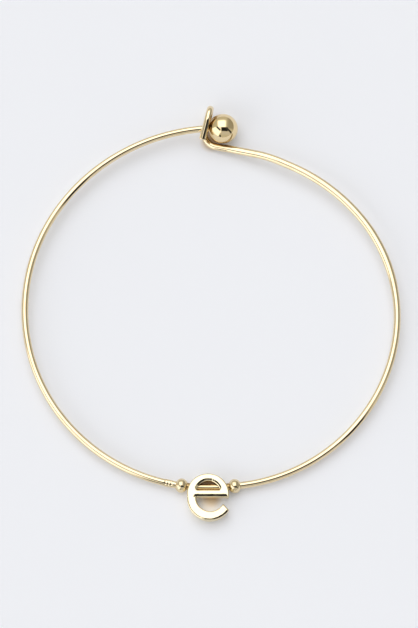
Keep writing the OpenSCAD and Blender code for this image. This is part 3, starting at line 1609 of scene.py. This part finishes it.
@dataclass
class Studio:
    """The pale table, the soft light and the camera."""

    elevation_deg: float = 73.2
    distance: float = 600.0 * MM
    # The photo's size in pixels and a pixel's length, and where the aimed place is in it
    pixel: float = 0.1755 * MM
    image: tuple[int, int] = (418, 628)
    aim: Place = (-0.15 * MM, 0.51 * MM, 1.9 * MM)
    aim_pixel: tuple[float, float] = (210.0, 307.1)
    sensor: float = 36.0
    near_clip: float = 0.01
    far_clip: float = 10.0
    floor_half: float = 1.5
    floor_tone: Colour = (0.84, 0.852, 0.902, 1.0)
    floor_rough: float = 0.85
    floor_shine: float = 0.2
    grain_scale: float = 60.0
    grain_dark: float = 0.985
    # Painted light: the table glows a little by itself, which lifts it and its shade; plain, and brown in the
    # painted brown shade
    floor_glow: float = 0.105
    plain_glow: Colour = (1.0, 1.02, 1.08, 1.0)
    brown_glow: Colour = (0.8, 0.45, 0.15, 1.0)
    # The warm light that the letter throws on the table through its open foot
    lit: Patch = Patch(-0.2, -34.9, 0.2, 2.1)
    lit_glow: Colour = (2.8, 2.2, 1.5, 1.0)
    # The brown shade under the crossbar, in the half-moon hole, and between ball and wire
    browns: tuple[Patch, ...] = (
        Patch(0.1, -33.4, 0.5, 2.3),
        Patch(-0.45, -30.9, 0.5, 2.3),
        Patch(0.0, 31.9, 0.5, 2.3),
    )
    brown_tone: Colour = (0.46, 0.33, 0.17, 1.0)
    brown_share: float = 0.85
    room_tone: Colour = (0.6, 0.59, 0.53, 1.0)
    backdrop_tone: Colour = (0.87, 0.88, 0.91, 1.0)
    cards: tuple[Card, ...] = CARDS
    # Keeps the chart from dividing by nothing straight overhead
    least_flat: float = 1e-5

    def camera(self) -> None:
        """Set the camera at the photograph's angle."""
        data = bpy.data.cameras.new("camera")
        wide, high = self.image
        data.sensor_fit = "VERTICAL"
        data.sensor_height = self.sensor
        data.lens = self.sensor * self.distance / (high * self.pixel)
        data.shift_x = (wide / 2.0 - self.aim_pixel[0]) / high
        data.shift_y = (self.aim_pixel[1] - high / 2.0) / high
        data.clip_start = self.near_clip
        data.clip_end = self.far_clip
        tilt = math.radians(self.elevation_deg)
        away = Vector((0.0, -math.cos(tilt), math.sin(tilt)))
        made = link_object("camera", data)
        made.location = Vector(self.aim) + away * self.distance
        made.rotation_euler = (math.pi / 2.0 - tilt, 0.0, 0.0)
        bpy.context.scene.camera = made

    def paint(self) -> bpy.types.Material:
        """Mix the table's paint, with painted light and painted shade for what the metal throws on it.

        Returns:
            The material.
        """
        made = bpy.data.materials.new("table_paint")
        made.use_nodes = True
        shader = made.node_tree.nodes["Principled BSDF"]
        g = Graph(made.node_tree)
        where = g.where()
        brown = 0.0
        for patch in self.browns:
            brown = g.math("MAXIMUM", patch.draw(g, where), brown)
        brown = g.math("MULTIPLY", brown, self.brown_share)
        darker = tuple(c * self.grain_dark for c in self.floor_tone[:3]) + (1.0,)
        grained = g.mix(g.noise(where, self.grain_scale), self.floor_tone, darker)
        plain = g.mix(brown, self.plain_glow, self.brown_glow)
        # The table's painted glow, and the painted brown shade and pool of warm light on it
        for name, value in (
            ("Base Color", g.mix(brown, grained, self.brown_tone)),
            ("Roughness", self.floor_rough),
            ("Specular IOR Level", self.floor_shine),
            ("Emission Color", g.mix(self.lit.draw(g, where), plain, self.lit_glow)),
            ("Emission Strength", self.floor_glow),
        ):
            g.give(shader, name, value)
        return made

    def floor(self) -> None:
        """Lay the pale table."""
        h = self.floor_half
        corners = [Vector((x, y, 0.0)) for x, y in ((-h, -h), (h, -h), (h, h), (-h, h))]
        made = new_object("table_top", corners, [[0, 1, 2, 3]])
        made.data.materials.append(self.paint())

    def room(self) -> None:
        """Build the room's light: a grey room with soft cards round the camera, and a pale backdrop."""
        world = bpy.data.worlds.new("studio")
        world.use_nodes = True
        world.node_tree.nodes.clear()
        bpy.context.scene.world = world
        g = Graph(world.node_tree)
        way = g.node("SeparateXYZ", g.node("TexCoord").outputs["Generated"]).outputs
        squares = g.math("ADD", g.math("POWER", way[0], 2.0), g.math("POWER", way[1], 2.0))
        flat = g.math("POWER", squares, 0.5)
        steep = g.math("DEGREES", g.math("ARCTAN2", flat, way[2]))
        share = g.math("DIVIDE", steep, g.math("MAXIMUM", flat, self.least_flat))
        x = g.math("MULTIPLY", way[0], share)
        y = g.math("MULTIPLY", way[1], share)
        light = self.room_tone
        for card in self.cards:
            light = g.mix(card.draw(g, x, y), light, card.colour())
        seen = g.node("LightPath").outputs["Is Camera Ray"]
        glow = g.node("Background", Color=g.mix(seen, light, self.backdrop_tone))
        g.node("OutputWorld", Surface=glow.outputs[0])

    def build(self) -> None:
        """Set up camera, table and room."""
        self.camera()
        self.floor()
        self.room()
        bpy.context.scene.view_settings.view_transform = "Standard"
        LOG.info("studio: %s", ", ".join(card.name for card in self.cards))


def main() -> None:
    """Build the studio, then the bangle piece by piece."""
    logging.basicConfig(level=logging.INFO, format="%(name)s: %(message)s")
    route = Route()
    groups = {tree.name: tree for tree in (tone_and_painted_shade_group(), rub_marks_group(), drawn_lines_group())}
    materials = {finish.slot: finish.material(groups) for finish in FINISHES}
    Studio().build()
    pieces = (
        BentWire("gold_wire", "bangle_wire", "bangle", Slot.WIRE, route),
        EndBall("polished_ball", "end_ball", "bangle", Slot.BALL, route),
        LetterCharm("letter_charm", "initial_charm", "charm", Slot.CHARM, route),
        StopperBead("left_bead", "bead_left", "bangle", Slot.BEAD, route, side=Side.LEFT, out=4.66 * MM),
        StopperBead("right_bead", "bead_right", "bangle", Slot.BEAD, route, side=Side.RIGHT, out=4.59 * MM),
    )
    for piece in pieces:
        piece.dress(piece.build(), materials)


if __name__ == "__main__":
    main()
